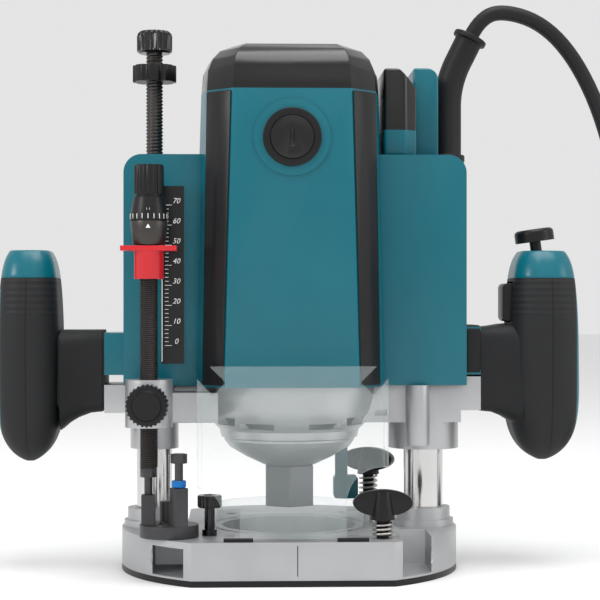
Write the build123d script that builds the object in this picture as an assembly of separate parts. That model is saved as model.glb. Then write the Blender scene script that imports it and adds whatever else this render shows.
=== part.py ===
from build123d import *
import math
import os

# Plunge router, 12 mm collet. Millimetres, +Z up, -Y is the operator's side.
# The origin is on the spindle axis in the plane of the sole.

# Fits
RUN = 0.04          # radial clearance of a running fit
SEAT = 0.02         # radial clearance of a seated piece
FREE = 0.4          # gap between pieces that must never touch

# Base
BASE_R = 85.0
BASE_FRONT = 70.0
SOLE_T = 3.0
BASE_TOP = 21.0
SOLE_OPENING_R = 32.0
BASE_OPENING_R = 34.0
BASE_SPLIT = 24.0
NOTCH_IN = 52.0
NOTCH_OUT = 67.3
NOTCH_BACK = 23.0
NOTCH_FLOOR = 4.0
DECK_T = 3.2
TABLE_X = 30.0
TABLE_Y = 45.0
TABLE_HOLE_R = 2.6
ROD_Y = 55.0
ROD_Z = 12.0
ROD_R = 5.1
SOLE_SCREW = (20.0, 61.0)

# Columns and plunge springs
COLUMN_X = 68.7
LEFT_COLUMN_R = 9.0
RIGHT_COLUMN_R = 10.0
COLUMN_TOP = 172.0
LEFT_BORE_R = 6.5
RIGHT_BORE_R = 7.4
COLUMN_FLOOR = 26.0
BOSS_R = 13.5
BOSS_TOP = 30.2
FLANGE_R = 15.3
FLANGE_T = 3.2
ROD_THREAD_R = 4.35
ROD_TOP = 261.0
ROD_KNOB_R = 9.0
ROD_KNOB_H = 11.4
NUT_R = 11.1
NUT_Z = 246.4
NUT_H = 8.4

# Turret with its stop screws
TURRET = (-59.5, -46.0)
TURRET_R = 14.3
TURRET_T = 6.0
STOP_RING_R = 10.0
POST_W = 6.6
LOW_POST_TOP = 41.3
LOW_STOP_TOP = 54.4
HIGH_POST_TOP = 45.4
HIGH_STOP_TOP = 61.8
HUB_POST_TOP = 37.0
HEX_AF = 7.0
HEX_H = 4.6
STOP_SCREW_R = 2.0

# Screws on the base
THUMB = (-40.0, -42.0)
FRONT_WING = (43.4, -55.0)
REAR_WING = (44.5, 55.0)
FRONT_WING_Z = 30.0
REAR_WING_Z = 41.2
WING_R = 14.3
WING_H = 14.4
WING_SHANK_R = 3.0
WING_HALF_T = 2.6

# Chip guards
SHIELD_HALF = 45.7
SHIELD_Y = 67.0
SHIELD_T = 2.0
SHIELD_TOP = 104.0
SHIELD_RETURN = 10.0
SHIELD_SEAT_T = 1.5
TONGUE_HALF = 25.3
BITE_R = 17.0
RING_R = 41.0
RING_T = 3.0
RING_H = 10.0

# Motor bracket
BRACKET_TOP = 93.0
COLLAR_BOTTOM = 60.3
LEFT_COLLAR_R = 12.2
RIGHT_COLLAR_R = 17.8
BUSH_T = 1.6
NOSE_Z = 52.0
NOSE_R = 13.5
SPINDLE_R = 10.0
BEARING_R = 20.0
BEARING_H = 14.0
BOWL_FLOOR = 66.0
ARM_HALF = 17.0

# Stop pole
POLE = (-69.3, -45.0)
POLE_R = 4.5
POLE_BOSS_R = 11.5
POLE_BOSS_TOP = 97.0
POLE_BOTTOM = 54.5
DIAL_BOTTOM = 162.2
DIAL_SPLIT = 173.9
DIAL_TOP = 201.0
POINTER_Z = 145.7
POINTER_H = 16.0
CLAMP_Z = 85.3
CLAMP_R = 10.2

# Motor housing
HOUSING_FRONT = 50.0
HOUSING_BACK = 46.0
FRONT_HALF_LOW = 32.5
FRONT_HALF_HIGH = 28.6
TRIM_HALF_LOW = 43.6
TRIM_HALF_HIGH = 41.4
SIDE_HALF_LOW = 49.0
SIDE_HALF_HIGH = 44.6
BEVEL_DEPTH = 13.0
SIDE_DEPTH = 22.0
HOUSING_TOP = 238.0
COVER_TOP = 261.5
WALL = 3.0
EAR_FRONT = 24.0
EAR_BACK = 26.0
LEFT_EAR = 83.0
RIGHT_EAR = 88.0
EAR_TOP = 208.0
EAR_ROOF = 4.0
HANDLE_SEAT_Z = 98.0
HOUSING_SCREWS = [(-24, 108), (24, 108), (-21, 190), (21, 190)]
SCREW_R = 2.2
VENT_STEP = 6.2
VENT_W = 3.0
MOUNT_LEFT = 93.0
MOUNT_RIGHT = 96.0
SWITCH_BOX_OUT = 64.0
CORD_BOX_OUT = 77.0

# Motor
BRUSH_Z = 214.2
CAP_R = 10.5
CAP_RING_R = 14.2
CAP_COLLAR_R = 18.6
COMMUTATOR_R = 15.0
ARMATURE_R = 26.0
STATOR_R = 37.5
STATOR_Z = (122.0, 180.0)
SHAFT_R = 6.0
UPPER_BEARING_R = 13.0
UPPER_BEARING_Z = 227.0
FAN_R = 33.0

# Collet
NUT_BOTTOM = 31.0
NUT_AF = 24.0
COLLET_R = 6.0
COLLET_SPLIT = 44.0

# Grips
GRIP_BOTTOM = 54.2
GRIP_TOP = 160.5
GRIP_DEPTH = 25.0
LEFT_GRIP_IN = 115.5
RIGHT_GRIP_IN = 111.5
GRIP_OUT = 147.0
GRIP_CAP_T = 14.0
NECK_Z = (80.0, 119.0)
TRIGGER_Z = (124.5, 144.0)
TRIGGER_HALF = 9.0
BUTTON_X = 127.0
BUTTON_R = 10.0
BUTTON_TILT = 8.0
BUTTON_SHANK_R = 2.9

# Cord
CORD_R = 4.0
GUARD_R = 7.2
COIL_X = 262.0
COIL_Y = 45.0
COIL_IN = 30.0
COIL_OUT = 58.0
CORD_LAYERS = 2
GUARD_ROUTE = [(84.5, 28, 203), (84.5, 28, 250), (97, 28, 275)]
LEAD_ROUTE = [(97, 28, 275), (101, 28, 283), (112, 28, 289), (134, 28, 283), (152, 27, 264),
              (167, 26, 232), (177, 22, 186), (184, 12, 132), (188, 0, 80), (191, -8, 34),
              (206, -13, CORD_R), (231, -13, CORD_R)]
TAIL_ROUTE = [(301, -14, 7), (320, 1, CORD_R), (333, 21, 4.5), (341, 42, 9.5), (341, 62, 9.5)]
PLUG_R = 9.0
PLUG_HALF = 15.0
PLUG_L = 38.0
PIN_L = 19.0
PIN_GAP = 19.0
PIN_R = 2.4

os.makedirs("parts", exist_ok=True)


def save(name, *solids):
    """Write one node."""
    shape = solids[0] if len(solids) == 1 else Compound(children=[s for s in solids])
    export_step(shape, f"parts/{name}.step")


def block(x, y, z):
    """A box from its three (low, high) pairs."""
    size = Box(x[1] - x[0], y[1] - y[0], z[1] - z[0])
    return Pos((x[0] + x[1]) / 2, (y[0] + y[1]) / 2, (z[0] + z[1]) / 2) * size


def post(x, y, z0, z1, r, bore=0):
    """An upright cylinder, or a tube when it has a bore."""
    solid = Pos(x, y, (z0 + z1) / 2) * Cylinder(r, z1 - z0)
    return solid - Pos(x, y, (z0 + z1) / 2) * Cylinder(bore, z1 - z0 + 1) if bore else solid


def bar_x(x0, x1, y, z, r):
    """A cylinder along X."""
    return Pos((x0 + x1) / 2, y, z) * Rot(0, 90, 0) * Cylinder(r, x1 - x0)


def bar_y(x, y0, y1, z, r):
    """A cylinder along Y."""
    return Pos(x, (y0 + y1) / 2, z) * Rot(90, 0, 0) * Cylinder(r, y1 - y0)


def hexagon(x, y, z0, z1, flats, turn=0):
    """An upright hexagonal prism; a turn of 0 puts a corner on +X."""
    face = Pos(x, y, z0) * Rot(0, 0, turn) * RegularPolygon(flats / math.sqrt(3), 6)
    return extrude(face, z1 - z0)


def turned(points):
    """A solid turned about the spindle axis from (radius, height) points."""
    return revolve(make_face(Polyline(*[(r, 0, z) for r, z in points], close=True)), Axis.Z)


def coil_spring(x, y, z0, z1, r, wire, pitch):
    """A compression spring as one swept wire."""
    helix = Helix(pitch=pitch, height=z1 - z0 - 2 * wire, radius=r)
    section = Plane(origin=helix @ 0, z_dir=helix % 0) * Circle(wire)
    return Pos(x, y, z0 + wire) * sweep(section, path=helix)


def routed(points):
    """A path of straight runs joined by the largest arcs that they allow."""
    spots = [Vector(p) for p in points]
    runs = [b - a for a, b in zip(spots, spots[1:])]
    radii = []
    for a, b in zip(runs, runs[1:]):
        turn = math.radians(a.get_angle(b))
        radii.append(0.45 * min(a.length, b.length) / math.tan(turn / 2))
    return FilletPolyline(*points, radius=radii)


def tube_along(points, r):
    """A round bar along a routed path."""
    path = routed(points)
    return sweep(Plane(origin=path @ 0, z_dir=path % 0) * Circle(r), path=path)


def base_outline():
    """A disc with a flat front."""
    return Circle(BASE_R) - Pos(0, -BASE_FRONT - BASE_R) * Rectangle(2 * BASE_R, 2 * BASE_R)


def four(x, y):
    return [(sx * x, sy * y) for sx in (-1, 1) for sy in (-1, 1)]


# ---------------------------------------------------------------- base


def sole_plate():
    solid = extrude(base_outline() - Circle(SOLE_OPENING_R), SOLE_T)
    for x, y in four(TABLE_X, TABLE_Y):
        solid -= post(x, y, -1, SOLE_T + 1, TABLE_HOLE_R)
    for x, y in four(*SOLE_SCREW):
        solid -= post(x, y, -1, SOLE_T + 1, 2.0 + SEAT)
        solid -= post(x, y, -1, 2.2, 3.8 + SEAT)
    return solid


def sole_screws():
    return [post(x, y, 0.4, 2.2, 3.8) + post(x, y, 2.2, 6.4, 2.0) for x, y in four(*SOLE_SCREW)]


def base_casting():
    solid = Pos(0, 0, SOLE_T) * extrude(base_outline() - Circle(BASE_OPENING_R), BASE_TOP - SOLE_T)
    for side in (-1, 1):
        roof = DECK_T if side < 0 else -1
        x = sorted((side * NOTCH_IN, side * NOTCH_OUT))
        solid -= block(x, (-BASE_R, -NOTCH_BACK), (NOTCH_FLOOR, BASE_TOP - roof))
        solid -= block(x, (NOTCH_BACK, BASE_R), (NOTCH_FLOOR, BASE_TOP + 1))
        solid += post(side * COLUMN_X, 0, BASE_TOP - 1, BASE_TOP + FLANGE_T, FLANGE_R)
        solid += post(side * COLUMN_X, 0, BASE_TOP, BOSS_TOP, BOSS_R)
    solid -= post(-COLUMN_X, 0, SOLE_T - 1, BOSS_TOP + 1, LEFT_COLUMN_R + SEAT)
    solid -= post(COLUMN_X, 0, SOLE_T - 1, BOSS_TOP + 1, RIGHT_COLUMN_R + SEAT)
    for y in (-ROD_Y, ROD_Y):
        solid -= bar_x(-BASE_R, BASE_R, y, ROD_Z, ROD_R)
    for x, y in four(TABLE_X, TABLE_Y):
        solid -= post(x, y, SOLE_T - 1, BASE_TOP + 1, TABLE_HOLE_R)
    for x, y in four(*SOLE_SCREW):
        solid -= post(x, y, SOLE_T - 1, 6.5, 2.0 + SEAT)
    for x, y in (FRONT_WING, REAR_WING):
        solid -= post(x, y, ROD_Z, BASE_TOP + 1, WING_SHANK_R + RUN)
    solid -= post(*THUMB, BASE_TOP - 9, BASE_TOP + 1, 2.5 + RUN)
    solid -= post(*TURRET, BASE_TOP - DECK_T - 1, BASE_TOP + 1, 2.5 + SEAT)
    return solid


def base_blocks():
    """The casting as four simple blocks round its opening, which meet face to face."""
    casting = base_casting()
    depth = (-BASE_R - 1, BASE_R + 1)
    spans = ((-BASE_R - 1, -BASE_SPLIT), (-BASE_SPLIT, BASE_SPLIT), (BASE_SPLIT, BASE_R + 1))
    blocks = []
    for span in spans:
        blocks.extend((casting & block(span, depth, (0, BOSS_TOP + 1))).solids())
    return blocks


def column(x, r, bore):
    return post(x, 0, SOLE_T + 0.2, COLUMN_TOP, r) - post(x, 0, COLUMN_FLOOR, COLUMN_TOP + 1, bore)


def rod_knob():
    top = ROD_TOP + ROD_KNOB_H
    knob = post(-COLUMN_X, 0, ROD_TOP, top, ROD_KNOB_R)
    return fillet(knob.edges().group_by(Axis.Z)[-1], 2.5)


def limit_nut():
    nut = post(-COLUMN_X, 0, NUT_Z, NUT_Z + NUT_H, NUT_R)
    for k in range(8):
        a = math.radians(45 * k + 22.5)
        x = -COLUMN_X + (NUT_R + 1.2) * math.cos(a)
        nut -= post(x, (NUT_R + 1.2) * math.sin(a), NUT_Z - 1, NUT_Z + NUT_H + 1, 2.2)
    return nut - post(-COLUMN_X, 0, NUT_Z - 1, NUT_Z + NUT_H + 1, ROD_THREAD_R + RUN)


def stop_spot(degrees):
    a = math.radians(degrees)
    return TURRET[0] + STOP_RING_R * math.cos(a), TURRET[1] + STOP_RING_R * math.sin(a)


LOW_STOP = stop_spot(180)
HIGH_STOP = stop_spot(-60)
HUB_STOP = stop_spot(100)
TURRET_BOTTOM = BASE_TOP + 0.1
TURRET_TOP = TURRET_BOTTOM + TURRET_T


def stopper_block():
    solid = post(*TURRET, TURRET_BOTTOM, TURRET_TOP, TURRET_R)
    solid += Pos(*LOW_STOP, (TURRET_TOP + LOW_POST_TOP) / 2) * Box(POST_W, POST_W, LOW_POST_TOP - TURRET_TOP)
    high = Box(POST_W, POST_W, HIGH_POST_TOP - TURRET_TOP)
    solid += Pos(*HIGH_STOP, (TURRET_TOP + HIGH_POST_TOP) / 2) * Rot(0, 0, 30) * high
    solid += post(*HUB_STOP, TURRET_TOP, HUB_POST_TOP, POST_W / 2)
    solid -= post(*TURRET, TURRET_BOTTOM - 1, TURRET_TOP + 1, 2.5 + RUN)
    solid -= post(*TURRET, TURRET_TOP - 2.4, TURRET_TOP + 1, 4.6 + RUN)
    for spot, top in ((LOW_STOP, LOW_POST_TOP), (HIGH_STOP, HIGH_POST_TOP)):
        solid -= post(*spot, TURRET_TOP, top + 1, STOP_SCREW_R + RUN)
    return solid


def turret_pivot_screw():
    shank = post(*TURRET, BASE_TOP - DECK_T, TURRET_TOP - 2.3, 2.5)
    head = post(*TURRET, TURRET_TOP - 2.3, TURRET_TOP + 0.8, 4.6)
    return shank + head - hexagon(*TURRET, TURRET_TOP - 0.8, TURRET_TOP + 1, 4)


def stop_screw(spot, post_top, top, nut):
    shank = post(*spot, TURRET_TOP + 1, top - HEX_H, STOP_SCREW_R)
    head = hexagon(*spot, top - HEX_H, top, HEX_AF)
    screw = shank + head
    if nut:
        screw += post(*spot, post_top + 0.1, post_top + 3.6, 2.6)
    return screw


def thumb_screw():
    shank = post(*THUMB, BASE_TOP - 3.5, 35, 2.5)
    head = chamfer(post(*THUMB, 34.6, 40.6, 5.9).edges().group_by(Axis.Z)[-1], 0.8)
    return shank + head + post(*THUMB, BASE_TOP + 0.1, 24, 3.6)


def wing_screw(spot, bottom, turn):
    """A clamp screw with an oval wing across a conical hub."""
    top = bottom + WING_H
    hub = Pos(*spot, (bottom + top - 1) / 2) * Cone(6.0, 4.2, WING_H - 1)
    flat = extrude(Ellipse(WING_R, WING_H / 2 - 0.8), WING_HALF_T, both=True)
    oval = Pos(0, 0, (bottom + top) / 2 + 0.8) * Rot(90, 0, 0) * flat
    shank = post(*spot, ROD_Z + ROD_R + 0.2, bottom + 1, WING_SHANK_R)
    return hub + Pos(*spot, 0) * Rot(0, 0, turn) * oval + shank


def wing_springs():
    front = coil_spring(*FRONT_WING, BASE_TOP + 0.3, FRONT_WING_Z - 0.3, 4.6, 0.6, 2.1)
    rear = coil_spring(*REAR_WING, BASE_TOP + 0.3, REAR_WING_Z - 0.3, 4.6, 0.6, 2.6)
    return [front, rear]


def shield_seats():
    y = (-SHIELD_Y - 1, -SHIELD_Y + SHIELD_T + 1)
    z = (BASE_TOP, BASE_TOP + SHIELD_SEAT_T)
    return [block((-33, -19), y, z), block((21, 36), y, z)]


def chip_shield():
    """A clear front wall with short returns, cut away round the clamp screws."""
    bottom = BASE_TOP + SHIELD_SEAT_T
    outer = RectangleRounded(2 * SHIELD_HALF, 4 * SHIELD_RETURN, 6)
    inner = RectangleRounded(2 * (SHIELD_HALF - SHIELD_T), 4 * SHIELD_RETURN - 2 * SHIELD_T, 6 - SHIELD_T)
    wall = extrude(Pos(0, 2 * SHIELD_RETURN - SHIELD_Y, bottom) * (outer - inner), SHIELD_TOP - bottom)
    wall -= block((-60, 60), (SHIELD_RETURN - SHIELD_Y, 0), (0, 120))
    front = -SHIELD_Y - 1
    for side in (-1, 1):
        corner = Pos(side * SHIELD_HALF, front + 10, SHIELD_TOP) * Rot(0, -side * 45, 0) * Box(30, 40, 8.6)
        wall -= corner
        x = sorted((side * TONGUE_HALF, side * 60))
        wall -= block(x, (front, 0), (0, 39.2 if side > 0 else 37))
    wall -= bar_y(SHIELD_HALF - 3.4, front, 0, 39.2, BITE_R)
    wall -= bar_y(-SHIELD_HALF, front, 0, 34, 12)
    return wall


def chip_ring():
    ring = post(0, 0, BASE_TOP, BASE_TOP + RING_H, RING_R, RING_R - RING_T)
    return fillet(ring.edges().group_by(Axis.Z)[-1], 1.0)


# ---------------------------------------------------------------- bracket


def bowl(inner):
    """The fan bowl: its outside, or the room inside it."""
    if inner:
        room = [(0, BOWL_FLOOR), (BEARING_R + SEAT, BOWL_FLOOR), (BEARING_R + SEAT, BOWL_FLOOR + BEARING_H)]
        room += [(24, BOWL_FLOOR + BEARING_H), (24, 69.5), (31, 69.5), (36.5, 78), (41, BRACKET_TOP)]
        return turned(room + [(41, BRACKET_TOP + 9), (0, BRACKET_TOP + 9)])
    skin = [(0, NOSE_Z), (NOSE_R, NOSE_Z), (22, 56), (30.5, 61), (33.2, 64.6), (33.2, 65.6)]
    skin += [(34.7, 66.2), (35.6, 70), (39.6, 74), (42.9, 79.5), (44.8, 86), (45.7, BRACKET_TOP)]
    return turned(skin + [(0, BRACKET_TOP)])


def motor_bracket():
    solid = bowl(False)
    solid += block((-COLUMN_X - 10, RIGHT_EAR - 2), (-ARM_HALF, ARM_HALF), (74, BRACKET_TOP))
    solid += post(-COLUMN_X, 0, COLLAR_BOTTOM, BRACKET_TOP, LEFT_COLLAR_R)
    solid += post(COLUMN_X, 0, COLLAR_BOTTOM, BRACKET_TOP, RIGHT_COLLAR_R)
    solid += block((-80, -58), (POLE[1], 0), (75, BRACKET_TOP))
    solid += post(*POLE, 74, POLE_BOSS_TOP, POLE_BOSS_R)
    solid += block((-60, -36), (-38, -10), (76, 90))
    solid += post(63.6, -22, 63, BRACKET_TOP, 6)
    solid += block((RIGHT_EAR - 4, MOUNT_RIGHT), (-ARM_HALF, ARM_HALF), (80, BRACKET_TOP))
    solid += block((RIGHT_EAR + FREE, MOUNT_RIGHT), (-ARM_HALF, ARM_HALF), (90, 97))
    solid += block((-MOUNT_LEFT, -76), (-ARM_HALF, ARM_HALF), (79, BRACKET_TOP))
    solid += bar_y(28, 20, 34, 72, 7)
    solid -= bowl(True)
    solid -= post(0, 0, NOSE_Z - 1, BOWL_FLOOR + 1, SPINDLE_R + 1)
    solid -= post(-COLUMN_X, 0, COLLAR_BOTTOM - 1, BRACKET_TOP + 1, LEFT_COLUMN_R + BUSH_T + SEAT)
    solid -= post(COLUMN_X, 0, COLLAR_BOTTOM - 1, BRACKET_TOP + 1, RIGHT_COLUMN_R + BUSH_T + SEAT)
    solid -= post(*POLE, 70, POLE_BOSS_TOP + 1, POLE_R + RUN)
    solid -= bar_y(POLE[0], POLE[1] - 20, POLE[1], CLAMP_Z, 3 + RUN)
    solid -= bar_y(28, 30, 60, 72, 2.5 + RUN)
    solid -= bar_y(0, 10, 60, 58, 2.5 + RUN) + bar_y(0, 24, 60, 58, 6 + FREE)
    for side in (-1, 1):
        solid -= Pos(side * 32, -30, 75) * Box(8.5, 34, 4)
        solid -= Pos(side * 17, -38, 73) * Box(17, 26, 3)
        solid -= Pos(side * 45.5, -ARM_HALF, 79) * Box(6, 8, 3)
    return solid


def column_bushes():
    left = post(-COLUMN_X, 0, COLLAR_BOTTOM, BRACKET_TOP, LEFT_COLUMN_R + BUSH_T, LEFT_COLUMN_R + RUN)
    right = post(COLUMN_X, 0, COLLAR_BOTTOM, BRACKET_TOP, RIGHT_COLUMN_R + BUSH_T, RIGHT_COLUMN_R + RUN)
    return [left, right]


def stop_pole():
    pole = post(*POLE, POLE_BOTTOM, DIAL_TOP - 5, POLE_R)
    ring = Pos(*POLE, (DIAL_BOTTOM + DIAL_SPLIT) / 2 - 0.1) * Cone(7.9, 9.2, DIAL_SPLIT - DIAL_BOTTOM - 0.2)
    return pole + ring


def pole_knob():
    skirt = Pos(*POLE, DIAL_SPLIT + 6.4) * Cone(9.2, 7.4, 12.6)
    grip = chamfer(post(*POLE, DIAL_SPLIT + 12, DIAL_TOP, 7.2).edges().group_by(Axis.Z)[-1], 1)
    return skirt + grip - post(*POLE, DIAL_SPLIT - 1, DIAL_TOP - 4.5, POLE_R + RUN)


def depth_pointer():
    body = post(*POLE, POINTER_Z, POINTER_Z + POINTER_H - 2, 7.2)
    flange = Pos(*POLE, POINTER_Z + POINTER_H - 1.2) * Box(27, 15, 2.4)
    tip = Pos(POLE[0] + 9, POLE[1] + 9, POINTER_Z + POINTER_H - 1.2) * Box(8, 10, 2.4)
    return body + flange + tip - post(*POLE, POINTER_Z - 1, POINTER_Z + POINTER_H + 1, POLE_R + RUN)


def pole_clamp_nut():
    face = POLE[1] - POLE_BOSS_R - 0.3
    head = bar_y(POLE[0], face - 12, face, CLAMP_Z, CLAMP_R)
    cap = bar_y(POLE[0], face - 13.4, face - 12, CLAMP_Z, 7)
    return head + cap + bar_y(POLE[0], face - 1, POLE[1] - POLE_R - 0.3, CLAMP_Z, 3)


def lock_lever():
    hub = bar_y(28, 34.3, 41, 72, 6.5)
    arm = block((25.5, 32), (35, 40), (41, 72))
    tip = block((24.6, 37.6), (34, 44), (30, 42))
    return hub + arm + fillet(tip.edges().filter_by(Axis.Y), 2) + bar_y(28, 30.5, 35, 72, 2.5)


# ---------------------------------------------------------------- housing


def tower_width(z):
    """Half widths of the core at a height: front panel, trim edge and side."""
    t = (z - BRACKET_TOP) / (HOUSING_TOP - BRACKET_TOP)
    lows = (FRONT_HALF_LOW, TRIM_HALF_LOW, SIDE_HALF_LOW)
    highs = (FRONT_HALF_HIGH, TRIM_HALF_HIGH, SIDE_HALF_HIGH)
    return [low + t * (high - low) for low, high in zip(lows, highs)]


def tower_face(z, inset, widths):
    """The ten-sided section of the motor housing at a height."""
    front, back = HOUSING_FRONT - inset, HOUSING_BACK - inset
    f, m, s = widths[0] - inset * 0.41, widths[1] - inset * 0.8, widths[2] - inset
    right = [(f, -front), (m, -front + BEVEL_DEPTH), (s, -front + BEVEL_DEPTH + SIDE_DEPTH)]
    right += [(s, back - BEVEL_DEPTH), (f, back)]
    left = [(-x, y) for x, y in reversed(right)]
    return Pos(0, 0, z) * make_face(Polyline(*right, *left, close=True))


def tower(inset, z0, z1):
    """The housing's core between two heights, which narrows as it rises."""
    ends = [tower_face(z, inset, tower_width(z)) for z in (z0, z1)]
    return loft(ends, ruled=True)


def ear(side, edge, inset, z0, z1):
    """One column cover at the side of the core, with a rounded top corner."""
    x = sorted((side * 30, side * (edge - inset)))
    solid = block(x, (-EAR_FRONT + inset, EAR_BACK - inset), (z0, z1))
    corner = solid.edges().filter_by(Axis.Y).group_by(Axis.Z)[-1].sort_by(Axis.X)
    return fillet(corner[0 if side < 0 else -1], 9 - inset / 2)


def motor_housing():
    solid = tower(0, BRACKET_TOP, HOUSING_TOP)
    solid += bar_y(0, -HOUSING_FRONT - 1.2, -HOUSING_FRONT + 1, BRUSH_Z, CAP_COLLAR_R)
    solid -= tower(WALL, BRACKET_TOP - 1, HOUSING_TOP + 1)
    plate = tower(WALL - 0.5, UPPER_BEARING_Z - 1.5, UPPER_BEARING_Z + 2)
    seat = post(0, 0, UPPER_BEARING_Z - 1.5, UPPER_BEARING_Z + 8, UPPER_BEARING_R + 3)
    solid += plate + seat - post(0, 0, 200, 260, UPPER_BEARING_R + SEAT)
    for k in range(6):
        a = math.radians(60 * k)
        solid -= post(27 * math.cos(a), 27 * math.sin(a), 220, 232, 6)
    for y0, y1 in ((-70, -30), (30, 70)):
        solid -= bar_y(0, y0, y1, BRUSH_Z, 9.6 + SEAT)
    for x, z in HOUSING_SCREWS:
        solid -= bar_y(x, HOUSING_BACK - 10, HOUSING_BACK + 1, z, SCREW_R + SEAT)
    return solid


def column_covers():
    """The covers over the columns at both sides of the core, with the handle seats."""
    core = tower(0, BRACKET_TOP - 1, EAR_TOP + 1)
    covers = []
    for side, edge, reach, seat_top in ((-1, LEFT_EAR, MOUNT_LEFT, NECK_Z[1]),
                                        (1, RIGHT_EAR, MOUNT_RIGHT, NECK_Z[1] + 3)):
        cover = ear(side, edge, 0, BRACKET_TOP, EAR_TOP)
        x = sorted((side * (edge - WALL), side * reach))
        cover += block(x, (-ARM_HALF, ARM_HALF), (HANDLE_SEAT_Z, seat_top))
        cover -= ear(side, edge, WALL, BRACKET_TOP - 1, EAR_TOP - EAR_ROOF)
        covers.append(cover - core)
    covers[0] -= post(-COLUMN_X, 0, EAR_TOP - 10, EAR_TOP + 1, ROD_THREAD_R + FREE)
    return covers


def housing_screws():
    return [bar_y(x, HOUSING_BACK - WALL - 2, HOUSING_BACK - 0.4, z, SCREW_R) for x, z in HOUSING_SCREWS]


def top_cover():
    """The vented black cap of the housing, rounded over at the top."""
    widths = tower_width(HOUSING_TOP)
    steps = [(0, 0), (10, 0.8), (16, 3.5), (20.5, 8), (COVER_TOP - HOUSING_TOP, 15)]
    faces = [tower_face(HOUSING_TOP + z, inset, widths) for z, inset in steps]
    solid = loft(faces[:2], ruled=True)
    for pair in zip(faces[1:], faces[2:]):
        solid += loft(list(pair), ruled=True)
    room = tower_face(HOUSING_TOP - 1, WALL, widths)
    roof = tower_face(COVER_TOP - WALL, 16, widths)
    solid -= loft([room, roof], ruled=True)
    for k in range(-4, 5):
        solid -= Pos(k * VENT_STEP, 0, COVER_TOP) * Box(VENT_W, 58, 2 * WALL + 5)
    return solid


def side_trims():
    """The two black facets between the front panel and the sides."""
    def strip(side):
        def face(z):
            f, m, _ = tower_width(z)
            slant = Vector(m - f, BEVEL_DEPTH).normalized()
            out = Vector(slant.Y, -slant.X)
            a = Vector(f, -HOUSING_FRONT) + slant * 0.8 + out * 0.2
            b = Vector(m, -HOUSING_FRONT + BEVEL_DEPTH) - slant * 0.5 + out * 0.2
            ring = [a, b, b + out * 0.6, (a + b) * 0.5 + out * 1.6, a + out * 0.6]
            return Pos(0, 0, z) * make_face(Polyline(*[(side * p.X, p.Y) for p in ring], close=True))
        return loft([face(BRACKET_TOP + 1), face(HOUSING_TOP - 1)], ruled=True)
    return [strip(-1), strip(1)]


def switch_box():
    box = block((SIDE_HALF_HIGH + 2.4, SWITCH_BOX_OUT), (-18, 44), (EAR_TOP, 252))
    edges = box.edges().filter_by(Axis.Y).group_by(Axis.Z)[-1].sort_by(Axis.X)
    box = chamfer(edges[-1], 9)
    side = box.edges().filter_by(Axis.Z).group_by(Axis.Y)[0].sort_by(Axis.X)
    return chamfer(side[-1], 6)


def cord_box():
    box = block((SWITCH_BOX_OUT + 0.1, CORD_BOX_OUT), (4, 44), (EAR_TOP, 255))
    edges = box.edges().filter_by(Axis.Y).group_by(Axis.Z)[-1].sort_by(Axis.X)
    return fillet(edges[-1], 6)


def scale_plate():
    return block((-64, -53), (-EAR_FRONT - 1.0, -EAR_FRONT), (104, 192))


def brush_gear():
    """Cap rings, caps, holders and carbon brushes, front and rear."""
    rings, caps, holders, brushes = [], [], [], []
    for side, face in ((-1, HOUSING_FRONT + 1.2), (1, HOUSING_BACK)):
        def along(y0, y1, r):
            lo, hi = sorted((side * y0, side * y1))
            return bar_y(0, lo, hi, BRUSH_Z, r)
        rings.append(along(face, face + 1.6, CAP_RING_R) - along(face - 1, face + 3, CAP_R + SEAT))
        cap = along(face, face + 2.2, CAP_R) - Pos(0, side * (face + 2.4), BRUSH_Z) * Box(2, 3, 8.4)
        caps.append(cap + along(face - 6, face, 5))
        holders.append(along(20, face - 0.1, 9.6) - along(19, face + 1, 5 + SEAT))
        brushes.append(Pos(0, side * 22, BRUSH_Z) * Box(6, 13.6, 6.6))
    return rings, caps, holders, brushes


# ---------------------------------------------------------------- motor


def field_stator():
    core = post(0, 0, *STATOR_Z, STATOR_R, ARMATURE_R + 1)
    for z0, z1 in ((STATOR_Z[0] - 8, STATOR_Z[0]), (STATOR_Z[1], STATOR_Z[1] + 8)):
        core += post(0, 0, z0, z1, STATOR_R - 3, ARMATURE_R + 2)
    return core


def spindle():
    shaft = post(0, 0, COLLET_SPLIT, 82, SPINDLE_R) + post(0, 0, 82, UPPER_BEARING_Z + 7, SHAFT_R)
    shaft -= post(0, 0, COLLET_SPLIT - 1, 58.5, 7.9 + SEAT)
    return shaft - post(0, 0, 58, 75, COLLET_R)


def armature():
    core = post(0, 0, *STATOR_Z, ARMATURE_R, SHAFT_R + SEAT)
    for z0, z1 in ((STATOR_Z[0] - 9, STATOR_Z[0]), (STATOR_Z[1], STATOR_Z[1] + 9)):
        core += post(0, 0, z0, z1, ARMATURE_R - 5, SHAFT_R + SEAT)
    return core


def cooling_fan():
    fan = post(0, 0, 83, 85, FAN_R, SHAFT_R + SEAT) + post(0, 0, 85, 94, 10, SHAFT_R + SEAT)
    for k in range(16):
        blade = Pos(21, 0, 88.9) * Rot(0, 0, 20) * Box(20, 1.2, 8)
        fan += Rot(0, 0, 22.5 * k) * blade
    return fan


def collet_cone():
    solid = post(0, 0, NUT_BOTTOM + 2.7, COLLET_SPLIT - 0.05, 9.2)
    solid += post(0, 0, COLLET_SPLIT - 1, 58, 7.9)
    return solid - post(0, 0, NUT_BOTTOM, 60, COLLET_R)


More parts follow.
